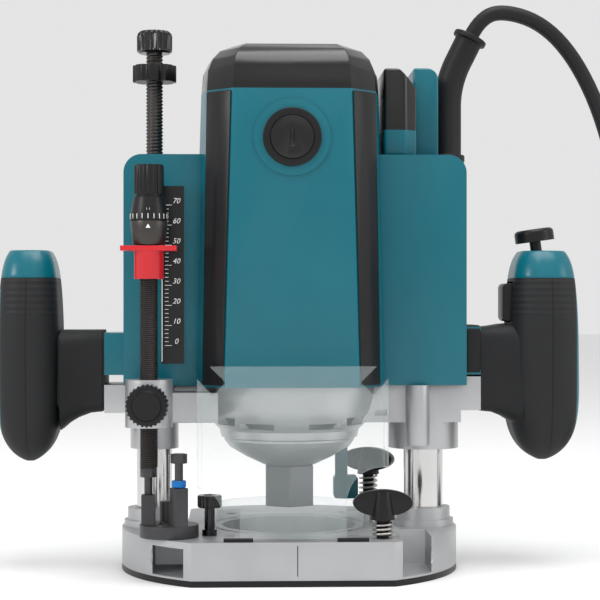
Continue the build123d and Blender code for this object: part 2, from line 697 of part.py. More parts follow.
def collet_nut():
    top = NOSE_Z - 0.6
    nut = hexagon(0, 0, NUT_BOTTOM, top, NUT_AF, 30)
    nut &= post(0, 0, NUT_BOTTOM, top, NUT_AF / math.sqrt(3) - 0.3)
    nut -= post(0, 0, NUT_BOTTOM - 1, top + 1, 7.6)
    nut -= post(0, 0, NUT_BOTTOM + 2.6, top + 1, 9.2 + RUN)
    return nut - post(0, 0, COLLET_SPLIT - 0.5, top + 1, SPINDLE_R + RUN)


# ---------------------------------------------------------------- grips


def grip(side, inner):
    """A pear-shaped handle with a neck to the housing."""
    mid = (inner + GRIP_OUT) / 2
    half = (GRIP_OUT - inner) / 2
    span = GRIP_TOP - GRIP_BOTTOM
    steps = [(0, 0.12, 0.2), (0.04, 0.52, 0.5), (0.12, 0.84, 0.78), (0.3, 1.0, 0.96), (0.55, 0.98, 1.0)]
    steps += [(0.8, 0.92, 0.94), (0.94, 0.8, 0.78), (1.0, 0.62, 0.6)]
    faces = []
    for t, wide, deep in steps:
        w, d = 2 * half * wide, 2 * GRIP_DEPTH * deep
        face = RectangleRounded(w, d, 0.42 * min(w, d))
        faces.append(Pos(side * mid, 0, GRIP_BOTTOM + t * span) * face)
    return loft(faces)


def grips():
    """Both handles, with their top caps cut off as pieces of their own."""
    cut = GRIP_TOP - GRIP_CAP_T
    tall = block((-200, 200), (-60, 60), (cut, 220))
    left, right = grip(-1, LEFT_GRIP_IN), grip(1, RIGHT_GRIP_IN)
    left_cap = left & tall
    right_cap = right & tall
    left_neck = block((-LEFT_GRIP_IN - 6, -MOUNT_LEFT), (-ARM_HALF + 1, ARM_HALF - 1), NECK_Z)
    reach = (MOUNT_RIGHT, RIGHT_GRIP_IN + 6)
    right_neck = block(reach, (-ARM_HALF + 1, ARM_HALF - 1), (NECK_Z[0], NECK_Z[1] + 3))
    left = left - tall + fillet(left_neck.edges().filter_by(Axis.X), 6)
    right = right - tall + fillet(right_neck.edges().filter_by(Axis.X), 6)
    wide = (-TRIGGER_HALF - 0.5, TRIGGER_HALF + 0.5)
    right -= block((RIGHT_GRIP_IN - 10, 139), wide, (TRIGGER_Z[0] - 0.5, TRIGGER_Z[1] + 1))
    right_cap -= button_part(BUTTON_SHANK_R + RUN + 0.3, -30, 30)
    return left, right, left_cap, right_cap


def switch_module():
    return block((124.5, 138), (-TRIGGER_HALF, TRIGGER_HALF), (TRIGGER_Z[0], TRIGGER_Z[1]))


def switch_trigger():
    box = block((RIGHT_GRIP_IN - 3, 120), (-TRIGGER_HALF, TRIGGER_HALF), TRIGGER_Z)
    return fillet(box.edges().filter_by(Axis.Y).group_by(Axis.X)[0], 2.5)


def button_part(r, low, high):
    """A cylinder on the lock button's tilted axis, from its seat on the grip."""
    bar = Pos(0, 0, (low + high) / 2) * Cylinder(r, high - low)
    return Pos(BUTTON_X, 0, GRIP_TOP) * Rot(0, -BUTTON_TILT, 0) * bar


def lock_button():
    cap = button_part(BUTTON_R, 5, 11.4)
    cap = fillet(cap.edges().group_by(Axis.Z)[-1], 2.2)
    return cap + button_part(BUTTON_SHANK_R, -9, 6)


def shaft_lock_button():
    return bar_y(0, 27.6, 37, 58, 6) + bar_y(0, 13.6, 28, 58, 2.5)


# ---------------------------------------------------------------- cord


def cord_guard():
    tip, before = Vector(GUARD_ROUTE[-1]), Vector(GUARD_ROUTE[-2])
    way = (tip - before).normalized()
    start = GUARD_ROUTE[0]
    body = tube_along(GUARD_ROUTE, GUARD_R)
    flange = Plane(origin=tip - way * 3, z_dir=way) * Pos(0, 0, 1.5) * Cylinder(9, 3)
    foot = Pos(start[0], start[1], EAR_TOP + 1) * Cylinder(9, 6)
    solid = body + flange + foot - block((60, 100), (0, 50), (190, EAR_TOP))
    return solid - block((60, CORD_BOX_OUT + 0.1), (0, 50), (EAR_TOP - 1, 256))


def cord_lead():
    return tube_along(LEAD_ROUTE, CORD_R)


def cord_coil():
    top = 2 * CORD_R * CORD_LAYERS
    return post(COIL_X, COIL_Y, 0, top, COIL_OUT + CORD_R, COIL_IN - CORD_R)


def plug():
    x, y, z = TAIL_ROUTE[-1]
    shell = block((x - PLUG_HALF, x + PLUG_HALF), (y + 0.2, y + PLUG_L), (z - PLUG_R, z + PLUG_R))
    shell = fillet(shell.edges().filter_by(Axis.Y), 0.8 * PLUG_R)
    for side in (-1, 1):
        shell += bar_y(x + side * PIN_GAP / 2, y + PLUG_L - 1, y + PLUG_L + PIN_L, z, PIN_R)
    return shell


# ---------------------------------------------------------------- write

save("sole_plate", sole_plate())
save("sole_screws", *sole_screws())
save("base_casting", *base_blocks())
save("left_column", column(-COLUMN_X, LEFT_COLUMN_R, LEFT_BORE_R))
save("right_column", column(COLUMN_X, RIGHT_COLUMN_R, RIGHT_BORE_R))
save("upper_limit_rod", post(-COLUMN_X, 0, COLUMN_FLOOR, ROD_TOP, ROD_THREAD_R))
save("rod_knob", rod_knob())
save("limit_nut", limit_nut())
spring_top = EAR_TOP - EAR_ROOF - 0.4
save("left_plunge_spring", coil_spring(-COLUMN_X, 0, COLUMN_FLOOR + 0.4, spring_top, 5.42, 0.55, 7))
save("right_plunge_spring", coil_spring(COLUMN_X, 0, COLUMN_FLOOR + 0.4, spring_top, 5.8, 0.8, 7))
save("stopper_block", stopper_block())
save("turret_pivot_screw", turret_pivot_screw())
save("low_stop_screw", stop_screw(LOW_STOP, LOW_POST_TOP, LOW_STOP_TOP, False))
save("high_stop_screw", stop_screw(HIGH_STOP, HIGH_POST_TOP, HIGH_STOP_TOP, True))
save("thumb_screw", thumb_screw())
save("front_wing_screw", wing_screw(FRONT_WING, FRONT_WING_Z, 0))
save("rear_wing_screw", wing_screw(REAR_WING, REAR_WING_Z, -25))
save("wing_springs", *wing_springs())
save("shield_seats", *shield_seats())
save("chip_shield", chip_shield())
save("chip_ring", chip_ring())
save("motor_bracket", motor_bracket())
save("column_bushes", *column_bushes())
save("stop_pole", stop_pole())
save("pole_knob", pole_knob())
save("depth_pointer", depth_pointer())
save("pole_clamp_nut", pole_clamp_nut())
save("lock_lever", lock_lever())
save("motor_housing", motor_housing())
save("column_covers", *column_covers())
save("housing_screws", *housing_screws())
save("top_cover", top_cover())
save("side_trims", *side_trims())
save("switch_box", switch_box())
save("cord_box", cord_box())
save("scale_plate", scale_plate())
rings, caps, holders, brushes = brush_gear()
save("brush_cap_rings", *rings)
save("brush_caps", *caps)
save("brush_holders", *holders)
save("carbon_brushes", *brushes)
save("field_stator", field_stator())
lower_bearing = post(0, 0, BOWL_FLOOR, BOWL_FLOOR + BEARING_H, BEARING_R, SPINDLE_R + SEAT)
upper_bearing = post(0, 0, UPPER_BEARING_Z - 1, UPPER_BEARING_Z + 7, UPPER_BEARING_R, SHAFT_R + SEAT)
save("spindle_bearings", lower_bearing, upper_bearing)
save("spindle", spindle())
save("armature", armature())
save("commutator", post(0, 0, BRUSH_Z - 9, BRUSH_Z + 10, COMMUTATOR_R, SHAFT_R + SEAT))
save("cooling_fan", cooling_fan())
save("collet_cone", collet_cone())
save("collet_nut", collet_nut())
left_grip, right_grip, left_cap, right_cap = grips()
save("left_grip", left_grip)
save("right_grip", right_grip)
save("grip_caps", left_cap, right_cap)
save("switch_module", switch_module())
save("switch_trigger", switch_trigger())
save("lock_button", lock_button())
save("cord_guard", cord_guard())
save("cord_lead", cord_lead())
save("cord_coil", cord_coil())
save("cord_tail", tube_along(TAIL_ROUTE, CORD_R))
save("plug", plug())
save("shaft_lock_button", shaft_lock_button())
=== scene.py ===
import math
import bmesh
import bpy
from mathutils import Matrix, Vector


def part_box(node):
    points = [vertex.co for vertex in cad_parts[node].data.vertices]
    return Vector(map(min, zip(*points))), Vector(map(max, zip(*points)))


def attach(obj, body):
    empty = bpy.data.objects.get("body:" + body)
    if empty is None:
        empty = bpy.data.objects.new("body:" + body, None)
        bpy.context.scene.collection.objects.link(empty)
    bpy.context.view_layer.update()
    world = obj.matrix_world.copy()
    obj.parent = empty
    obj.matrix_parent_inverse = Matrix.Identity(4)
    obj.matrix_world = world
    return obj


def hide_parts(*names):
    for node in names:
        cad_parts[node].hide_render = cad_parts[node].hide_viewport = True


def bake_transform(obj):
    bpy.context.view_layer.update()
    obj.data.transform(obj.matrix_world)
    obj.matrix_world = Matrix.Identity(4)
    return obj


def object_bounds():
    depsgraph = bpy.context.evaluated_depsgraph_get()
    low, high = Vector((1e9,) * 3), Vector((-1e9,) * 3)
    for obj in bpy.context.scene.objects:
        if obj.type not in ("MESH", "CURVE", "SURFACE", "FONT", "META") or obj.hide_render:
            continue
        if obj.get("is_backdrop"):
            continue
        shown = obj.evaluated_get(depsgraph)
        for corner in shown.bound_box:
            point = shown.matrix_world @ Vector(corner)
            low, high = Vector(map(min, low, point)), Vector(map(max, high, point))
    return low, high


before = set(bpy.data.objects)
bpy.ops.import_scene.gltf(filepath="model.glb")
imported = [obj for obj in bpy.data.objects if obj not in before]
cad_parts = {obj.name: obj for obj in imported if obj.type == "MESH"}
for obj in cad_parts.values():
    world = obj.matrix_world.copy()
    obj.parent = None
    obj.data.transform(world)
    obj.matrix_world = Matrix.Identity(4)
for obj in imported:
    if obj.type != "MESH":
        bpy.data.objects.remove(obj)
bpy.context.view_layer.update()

mm = 0.001


# Shader kit

class Wire:
    def __init__(self, paint, socket):
        self.paint = paint
        self.socket = socket

    def math(self, operation, *values):
        return self.paint.add("ShaderNodeMath", dict(operation=operation), [self, *values])

    def __add__(self, other):
        return self.math("ADD", other)

    def __mul__(self, other):
        return self.math("MULTIPLY", other)

    def __sub__(self, other):
        return self.math("SUBTRACT", other)

    def __rsub__(self, other):
        return self.math("MULTIPLY", -1.0).math("ADD", other)

    def __gt__(self, other):
        return self.math("GREATER_THAN", other)

    def __lt__(self, other):
        return self.math("LESS_THAN", other)

    __radd__ = __add__
    __rmul__ = __mul__


class Paint:
    def __init__(self, name, **fixed):
        self.material = bpy.data.materials.new(name)
        self.material.use_nodes = True
        self.tree = self.material.node_tree
        self.shader = self.tree.nodes["Principled BSDF"]
        for key, value in fixed.items():
            self.shader.inputs[key.replace("_", " ")].default_value = value
        self.place = self.add("ShaderNodeTexCoord", out="Object")
        self.x, self.y, self.z = (self.axis(k) for k in "XYZ")

    def add(self, kind, settings=None, values=(), out=0):
        node = self.tree.nodes.new(kind)
        for key, value in (settings or {}).items():
            if key == "stops":
                self.setStops(node.color_ramp, value)
            else:
                setattr(node, key, value)
        pairs = values.items() if isinstance(values, dict) else enumerate(values)
        for key, value in pairs:
            if isinstance(value, Wire):
                self.tree.links.new(value.socket, node.inputs[key])
            else:
                node.inputs[key].default_value = value
        return Wire(self, node.outputs[out])

    def setStops(self, ramp, stops):
        while len(ramp.elements) < len(stops):
            ramp.elements.new(0.5)
        for element, (place, colour) in zip(ramp.elements, stops):
            element.position = place
            element.color = colour

    def axis(self, letter):
        return self.add("ShaderNodeSeparateXYZ", values=[self.place], out=letter)

    def noise(self, scale, detail=3.0, stretch=(1, 1, 1)):
        where = self.add("ShaderNodeMapping", values={"Vector": self.place, "Scale": stretch})
        return self.add("ShaderNodeTexNoise", values={"Vector": where, "Scale": scale, "Detail": detail})

    def ramp(self, wire, low, high):
        return self.add("ShaderNodeMapRange", values=[wire, low, high])

    def blendColours(self, factor, first, second):
        settings = dict(data_type="RGBA")
        return self.add("ShaderNodeMix", settings, {0: factor, 6: first, 7: second}, out=2)

    def feed(self, socket, wire):
        self.tree.links.new(wire.socket, self.shader.inputs[socket])

    def relief(self, height, distance, strength=1.0, below=None):
        values = {"Height": height, "Distance": distance, "Strength": strength}
        if below is not None:
            values["Normal"] = below
        return self.add("ShaderNodeBump", values=values)


def shade(colour, factor):
    return (*[min(1.0, c * factor) for c in colour], 1.0)


# Finishes: colour, roughness and the size of the moulded or cast grain, in metres

finishes = {
    "tealShell": dict(colour=(0.0, 0.118, 0.158), rough=0.32,
                      grain=0.0007, depth=0.00004, spread=0.05, coat=0.25),
    "blackShell": dict(colour=(0.005, 0.005, 0.006), rough=0.4,
                       grain=0.0006, depth=0.00005, spread=0.12, coat=0.1),
    "blackGloss": dict(colour=(0.003, 0.003, 0.0035), rough=0.22,
                       grain=0.0011, depth=0.00001, spread=0.1, coat=0.4),
    "softGrip": dict(colour=(0.011, 0.0115, 0.0125), rough=0.58,
                     grain=0.0008, depth=0.0001, spread=0.15, coat=0.0),
    "rubber": dict(colour=(0.01, 0.01, 0.011), rough=0.5,
                   grain=0.0009, depth=0.00004, spread=0.15, coat=0.0),
    "redPointer": dict(colour=(0.55, 0.012, 0.02), rough=0.33,
                       grain=0.0009, depth=0.00002, spread=0.06, coat=0.3),
    "blueRing": dict(colour=(0.0, 0.13, 0.42), rough=0.4,
                     grain=0.0007, depth=0.00002, spread=0.08, coat=0.1),
    "whiteInk": dict(colour=(0.82, 0.82, 0.8), rough=0.5,
                     grain=0.0004, depth=0.00001, spread=0.04, coat=0.0),
    "carbon": dict(colour=(0.02, 0.02, 0.02), rough=0.7,
                   grain=0.0004, depth=0.00004, spread=0.2, coat=0.0),
}
metals = {
    "castBracket": dict(colour=(0.44, 0.445, 0.455), rough=0.36,
                        grain=0.0007, depth=0.00007, metal=0.72),
    "paintedBase": dict(colour=(0.42, 0.425, 0.435), rough=0.4,
                        grain=0.0006, depth=0.00006, metal=0.6),
    "groundSteel": dict(colour=(0.6, 0.595, 0.59), rough=0.16,
                        grain=0.0009, depth=0.000006, metal=1.0, stretch=(1, 1, 7)),
    "turnedSteel": dict(colour=(0.3, 0.3, 0.31), rough=0.36,
                        grain=0.0006, depth=0.00002, metal=1.0, stretch=(1, 1, 9)),
    "nutSteel": dict(colour=(0.13, 0.13, 0.14), rough=0.44,
                     grain=0.0006, depth=0.00002, metal=0.5, stretch=(1, 1, 9)),
    "darkThread": dict(colour=(0.06, 0.055, 0.052), rough=0.36,
                       grain=0.0007, depth=0.00003, metal=0.75),
    "blackZinc": dict(colour=(0.05, 0.05, 0.053), rough=0.4,
                      grain=0.0007, depth=0.00005, metal=0.5),
    "springWire": dict(colour=(0.5, 0.48, 0.45), rough=0.3,
                       grain=0.0005, depth=0.00001, metal=1.0),
    "bronze": dict(colour=(0.5, 0.33, 0.14), rough=0.35,
                   grain=0.0006, depth=0.00002, metal=1.0),
    "copper": dict(colour=(0.6, 0.27, 0.13), rough=0.32,
                   grain=0.0006, depth=0.00002, metal=1.0, stretch=(1, 1, 8)),
    "nickel": dict(colour=(0.7, 0.69, 0.66), rough=0.22,
                   grain=0.0007, depth=0.00001, metal=1.0),
}


def mouldedFinish(name, colour, rough, grain, depth, spread, coat):
    paint = Paint(name, Coat_Roughness=0.25, Coat_Weight=coat, Specular_IOR_Level=0.25)
    fine = paint.noise(1 / grain, 2.0)
    broad = paint.noise(22.0, 4.0)
    handled = paint.ramp(paint.noise(60.0, 5.0), 0.45, 0.75)
    tint = paint.ramp(broad, 0.3, 0.7)
    paint.feed("Base Color", paint.blendColours(tint, shade(colour, 1 - spread), shade(colour, 1 + spread)))
    paint.feed("Roughness", rough - 0.05 + fine * 0.08 + handled * 0.06)
    paint.feed("Normal", paint.relief(fine, depth, 0.6))
    return paint


def metalFinish(name, colour, rough, grain, depth, metal, stretch=(1, 1, 1)):
    paint = Paint(name, Metallic=metal)
    fine = paint.noise(1 / grain, 3.0, stretch)
    broad = paint.noise(30.0, 5.0)
    tint = paint.ramp(broad, 0.3, 0.7)
    paint.feed("Base Color", paint.blendColours(tint, shade(colour, 0.93), shade(colour, 1.05)))
    paint.feed("Roughness", rough - 0.06 + fine * 0.1 + broad * 0.05)
    paint.feed("Normal", paint.relief(fine, depth, 0.6))
    return paint


paints = {name: mouldedFinish(name, **facts) for name, facts in finishes.items()}
paints.update({name: metalFinish(name, **facts) for name, facts in metals.items()})


def clearFinish():
    # Clear plastic that shows most at its edges and where it turns away
    paint = Paint("clearGuard", Coat_Weight=0.3, Specular_IOR_Level=0.4)
    paint.shader.inputs["Base Color"].default_value = (0.62, 0.7, 0.7, 1)
    turned = paint.add("ShaderNodeLayerWeight", values=[0.35], out="Facing")
    scuffs = paint.ramp(paint.noise(90.0, 6.0, (1, 1, 3)), 0.5, 0.8)
    fine = paint.noise(700.0, 2.0)
    paint.feed("Roughness", 0.05 + scuffs * 0.08)
    paint.feed("Alpha", 0.1 + turned.math("POWER", 2.5) * 0.6 + scuffs * 0.03)
    paint.feed("Normal", paint.relief(fine, 0.00002, 0.15))
    return paint


def gripFinish():
    # Soft black rubber with a teal strip down the outer edge and rows of ribs
    facts = dict(edge=0.1448, seamAt=0.1315, seam=0.00035, low=0.068, high=0.141,
                 ribStep=0.0032, ribTop=0.146, ribBottom=0.128)
    paint = Paint("gripSkin", Specular_IOR_Level=0.3)
    out = paint.x.math("ABSOLUTE") + paint.noise(8.0) * 0.0004
    teal = (out > facts["edge"]) * (paint.z > facts["low"]) * (paint.z < facts["high"])
    seam = (out - facts["seamAt"]).math("ABSOLUTE") < facts["seam"]
    fine = paint.noise(1100.0, 2.0)
    black = paint.blendColours(fine, (0.008, 0.0085, 0.009, 1), (0.014, 0.0145, 0.016, 1))
    colour = paint.blendColours(teal, black, (0.0, 0.118, 0.158, 1))
    paint.feed("Base Color", paint.blendColours(seam, colour, (0.003, 0.003, 0.003, 1)))
    paint.feed("Roughness", 0.52 + fine * 0.1 - teal * 0.16)
    ribs = (paint.z * (2 * math.pi / facts["ribStep"])).math("SINE")
    banded = (paint.z > facts["ribBottom"]) * (paint.z < facts["ribTop"]) * (1 - teal)
    height = fine * 0.25 + ribs * banded * 0.5 - seam * 2.0
    paint.feed("Normal", paint.relief(height, 0.0003, 0.7))
    return paint


paints["clearGuard"] = clearFinish()
paints["gripSkin"] = gripFinish()
print("finishes:", len(paints))


# Camera, floor and light

view = dict(distance=0.9, height=0.1355, turn=-2.0, across=0.0055, lens=105.6)


def makeCamera():
    data = bpy.data.cameras.new("camera")
    data.lens = view["lens"]
    data.clip_start = 0.01
    camera = bpy.data.objects.new("camera", data)
    bpy.context.collection.objects.link(camera)
    turn = math.radians(view["turn"])
    forward = Vector((-math.sin(turn), math.cos(turn), 0))
    right = Vector((math.cos(turn), math.sin(turn), 0))
    aim = Vector((0, 0, view["height"])) + right * view["across"]
    camera.location = aim - forward * view["distance"]
    camera.rotation_euler = forward.to_track_quat("-Z", "Y").to_euler()
    bpy.context.scene.camera = camera


def makeFloor():
    mesh = bpy.data.meshes.new("floor")
    bm = bmesh.new()
    bmesh.ops.create_grid(bm, x_segments=1, y_segments=1, size=6)
    bm.to_mesh(mesh)
    bm.free()
    floor = bpy.data.objects.new("floor", mesh)
    bpy.context.collection.objects.link(floor)
    paint = Paint("floorPaint", Roughness=0.75)
    pale, paler = (0.86, 0.86, 0.86, 1), (0.88, 0.88, 0.88, 1)
    paint.feed("Base Color", paint.blendColours(paint.noise(3.0), pale, paler))
    mesh.materials.append(paint.material)
    floor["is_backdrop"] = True


def makeLights():
    world = bpy.data.worlds.new("studio")
    bpy.context.scene.world = world
    world.use_nodes = True
    back = world.node_tree.nodes["Background"]
    back.inputs["Color"].default_value = (1, 1, 1, 1)
    back.inputs["Strength"].default_value = 0.78
    lamps = [("topBox", (0.1, -0.2, 1.3), 0.8, 10), ("leftBox", (-1.1, -0.7, 0.75), 0.4, 6),
             ("rightBox", (1.2, -0.5, 0.6), 0.6, 3), ("frontBox", (0.2, -1.6, 1.0), 0.9, 1)]
    for name, place, size, power in lamps:
        data = bpy.data.lights.new(name, "AREA")
        data.size = size
        data.energy = power
        lamp = bpy.data.objects.new(name, data)
        lamp.location = place
        lamp.rotation_euler = (Vector((0, 0, 0.13)) - Vector(place)).to_track_quat("-Z", "Y").to_euler()
        bpy.context.collection.objects.link(lamp)


makeCamera()
makeFloor()
makeLights()
bpy.context.scene.view_settings.view_transform = "Standard"
print("stage ready")


# Mesh kit

def finishPiece(bm, name, body, finish, nodes=(), sharp=32):
    mesh = bpy.data.meshes.new(name)
    bm.to_mesh(mesh)
    bm.free()
    mesh.shade_smooth()
    mesh.set_sharp_from_angle(angle=math.radians(sharp))
    piece = bpy.data.objects.new(name, mesh)
    bpy.context.collection.objects.link(piece)
    mesh.materials.append(paints[finish].material)
    if body:
        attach(piece, body)
    if nodes:
        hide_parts(*nodes)
    return piece


def nodeMesh(node, merge=1e-6):
    bm = bmesh.new()
    bm.from_mesh(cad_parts[node].data)
    bmesh.ops.remove_doubles(bm, verts=bm.verts, dist=merge)
    bmesh.ops.dissolve_limit(bm, angle_limit=math.radians(0.6), verts=bm.verts, edges=bm.edges)
    return bm


def bevelSharp(bm, width, segments=2, above=28, where=None):
    edges = [e for e in bm.edges if len(e.link_faces) == 2 and e.calc_face_angle(0) > math.radians(above)]
    if where:
        edges = [e for e in edges if where((e.verts[0].co + e.verts[1].co) / 2)]
    bmesh.ops.bevel(bm, geom=edges, offset=width, segments=segments, profile=0.5, affect="EDGES",
                    material=-1, clamp_overlap=True)


def softened(node, name, body, finish, width=0.4 * mm, segments=2, where=None, sharp=32):
    bm = nodeMesh(node)
    bevelSharp(bm, width, segments, 28, where)
    return finishPiece(bm, name, body, finish, [node], sharp=sharp)


def addBox(bm, low, high):
    low, high = Vector(low), Vector(high)
    place = Matrix.Translation((low + high) / 2) @ Matrix.Diagonal((*(high - low), 1))
    bmesh.ops.create_cube(bm, size=1, matrix=place)


def joinInto(bm, part):
    mesh = bpy.data.meshes.new("part")
    part.to_mesh(mesh)
    part.free()
    bm.from_mesh(mesh)
    bpy.data.meshes.remove(mesh)


def lathe(profile, steps=64):
    # A solid turned about an upright axis from (radius, height) points that start and end on the axis
    bm = bmesh.new()
    verts = [bm.verts.new((r, 0, z)) for r, z in profile]
    edges = [bm.edges.new(pair) for pair in zip(verts, verts[1:])]
    bmesh.ops.spin(bm, geom=verts + edges, cent=(0, 0, 0), axis=(0, 0, 1), angle=2 * math.pi,
                   steps=steps, use_merge=True)
    bmesh.ops.remove_doubles(bm, verts=bm.verts, dist=1e-7)
    bmesh.ops.recalc_face_normals(bm, faces=bm.faces)
    return bm


def flute(bm, teeth, depth, low, high, least):
    # Presses even grooves into a turned piece between two heights
    for v in bm.verts:
        r = math.hypot(v.co.x, v.co.y)
        if low <= v.co.z <= high and r > least:
            wave = 0.5 - 0.5 * math.cos(teeth * math.atan2(v.co.y, v.co.x))
            k = 1 - depth * wave / r
            v.co.x *= k
            v.co.y *= k


def moved(bm, place, turn=None):
    bmesh.ops.transform(bm, matrix=Matrix.Translation(place) @ (turn or Matrix.Identity(4)), verts=bm.verts)
    return bm


def thread(bm, place, low, high, outer, inner, pitch, steps=22):
    # One ridge wound up a rod, cut flat and closed at both ends
    turns = math.ceil((high - low) / pitch) + 2
    start = low - pitch
    shape = [(inner, 0), (outer, 0.4 * pitch), (outer, 0.55 * pitch), (inner, 0.95 * pitch), (inner, pitch)]
    ridge = bmesh.new()
    verts = [ridge.verts.new((r, 0, start + z)) for r, z in shape]
    edges = [ridge.edges.new(pair) for pair in zip(verts, verts[1:])]
    bmesh.ops.spin(ridge, geom=verts + edges, cent=(0, 0, 0), axis=(0, 0, 1), dvec=(0, 0, pitch / steps),
                   angle=2 * math.pi * turns, steps=steps * turns, use_merge=False)
    bmesh.ops.remove_doubles(ridge, verts=ridge.verts, dist=1e-6)
    for z, clearOuter in ((low, False), (high, True)):
        everything = ridge.verts[:] + ridge.edges[:] + ridge.faces[:]
        bmesh.ops.bisect_plane(ridge, geom=everything, plane_co=(0, 0, z), plane_no=(0, 0, 1),
                               clear_outer=clearOuter, clear_inner=not clearOuter)
        rim = [e for e in ridge.edges if e.is_boundary and all(abs(v.co.z - z) < 1e-6 for v in e.verts)]
        bmesh.ops.contextual_create(ridge, geom=rim)
    bmesh.ops.recalc_face_normals(ridge, faces=ridge.faces)
    bmesh.ops.translate(ridge, vec=place, verts=ridge.verts)
    joinInto(bm, ridge)


def centreOf(node):
    low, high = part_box(node)
    return (low + high) / 2


# Cord: the route in metres, its coil by a loop

cordFacts = dict(diameter=0.008, length=2.5, coilX=0.262, coilY=0.045, inner=0.030, outer=0.058,
                 turns=3.5, perTurn=14, layers=(0.004, 0.012), pinsFrom=0.1004)
leadRoute = [(97, 28, 275), (101, 28, 283), (112, 28, 289), (134, 28, 283), (152, 27, 264), (167, 26, 232),
             (177, 22, 186), (184, 12, 132), (188, 0, 80), (191, -8, 34), (206, -13, 4), (231, -13, 4)]
tailRoute = [(301, -14, 7), (320, 1, 4), (333, 21, 4.5), (341, 42, 9.5), (341, 62, 9.5)]


def coilPoints():
    # Two flat spirals, inwards on the floor and outwards on top of it
    facts = cordFacts
    points = []
    count = int(facts["turns"] * facts["perTurn"])
    for layer, height in enumerate(facts["layers"]):
        for k in range(1, count + 1):
            t = k / count
            angle = -math.pi / 2 + 2 * math.pi * facts["turns"] * (t + layer)
            share = t if layer == 0 else 1 - t
            r = facts["outer"] + (facts["inner"] - facts["outer"]) * share
            x = facts["coilX"] + r * math.cos(angle)
            y = facts["coilY"] + r * math.sin(angle)
            points.append((x, y, height))
    return points


def routeCurve(name, points):
    data = bpy.data.curves.new(name, "CURVE")
    data.dimensions = "3D"
    spline = data.splines.new("NURBS")
    spline.points.add(len(points) - 1)
    for point, place in zip(spline.points, points):
        point.co = (*place, 1)
    spline.order_u = 3
    spline.use_endpoint_u = True
    spline.resolution_u = 6
    return data


def makeCord():
    lead = [tuple(c * mm for c in p) for p in leadRoute]
    tail = [tuple(c * mm for c in p) for p in tailRoute]
    data = routeCurve("cordLine", lead + coilPoints() + tail)
    holder = bpy.data.objects.new("cordLine", data)
    line = bpy.data.meshes.new_from_object(holder)
    path = [tuple(v.co) for v in line.vertices]
    data.bevel_depth = cordFacts["diameter"] / 2
    data.bevel_resolution = 5
    data.use_fill_caps = True
    mesh = bpy.data.meshes.new_from_object(holder)
    bpy.data.objects.remove(holder)
    cord = bpy.data.objects.new("mainsCord", mesh)
    bpy.context.collection.objects.link(cord)
    mesh.materials.clear()
    mesh.materials.append(paints["rubber"].material)
    mesh.shade_smooth()
    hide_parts("cord_lead", "cord_coil", "cord_tail")
    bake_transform(cord)
    return cord, path


cord, cordPath = makeCord()
plugShell = softened("plug", "plugShell", "base", "rubber", 1.2 * mm, 3, lambda p: p.y < 0.1005)
plugShell.data.materials.append(paints["nickel"].material)
for face in plugShell.data.polygons:
    face.material_index = int(face.center.y > cordFacts["pinsFrom"])
softened("cord_guard", "cordGuard", "motor", "rubber", 0.8 * mm, 3)
print("cord laid")


# Base

def makeBase():
    # The casting's blocks are joined again where they meet, then its edges are rounded
    facts = dict(seam=0.024, round=0.9 * mm, segments=3)
    bm = nodeMesh("base_casting")
    inside = [f for f in bm.faces if abs(f.normal.x) > 0.99
              and abs(abs(f.calc_center_median().x) - facts["seam"]) < 1e-5]
    bmesh.ops.delete(bm, geom=inside, context="FACES")
    bmesh.ops.dissolve_limit(bm, angle_limit=math.radians(0.6), verts=bm.verts, edges=bm.edges)
    bevelSharp(bm, facts["round"], facts["segments"])
    finishPiece(bm, "baseCasting", "base", "paintedBase", ["base_casting"])


makeBase()
softened("stopper_block", "turretBlock", "turret", "blackZinc", 0.5 * mm)
softened("collet_nut", "colletNut", "collet_nut", "nutSteel", 0.6 * mm, 2)
softened("low_stop_screw", "lowStopScrew", "low_stop_screw", "blackZinc", 0.3 * mm)
softened("high_stop_screw", "highStopScrew", "high_stop_screw", "blackZinc", 0.3 * mm)
softened("chip_shield", "chipShield", "base", "clearGuard", 0.3 * mm, 2)
softened("chip_ring", "chipRing", "base", "clearGuard", 0.3 * mm, 2)
softened("front_wing_screw", "frontWing", "front_wing_screw", "blackShell", 0.9 * mm, 3)
softened("rear_wing_screw", "rearWing", "rear_wing_screw", "blackShell", 0.9 * mm, 3)


def makeKnurled(node, name, body, profile, teeth, depth, band, at, finish="blackShell", turn=None):
    # A turned piece, sizes in millimetres, with grooves pressed in over a band (low, high, least radius)
    bm = lathe([(r * mm, z * mm) for r, z in profile], teeth * 6)
    flute(bm, teeth, depth * mm, *[size * mm for size in band])
    moved(bm, at, turn)
    finishPiece(bm, name, body, finish, [node])


thumb = centreOf("thumb_screw")
thumbProfile = [(0, 17.5), (2.4, 17.5), (2.5, 21.1), (3.6, 21.1), (3.6, 24), (2.5, 24), (2.5, 34.6),
                (5.4, 34.6), (5.9, 35.1), (5.9, 40.1), (5.4, 40.6), (3.2, 40.6), (3.0, 40.2), (0, 40.2)]
makeKnurled("thumb_screw", "thumbScrew", "thumb_screw", thumbProfile, 22, 0.5, (34.9, 40.3, 5.2),
            (thumb.x, thumb.y, 0), "blackGloss")
print("base done")


# Limit rod, its nut and knob

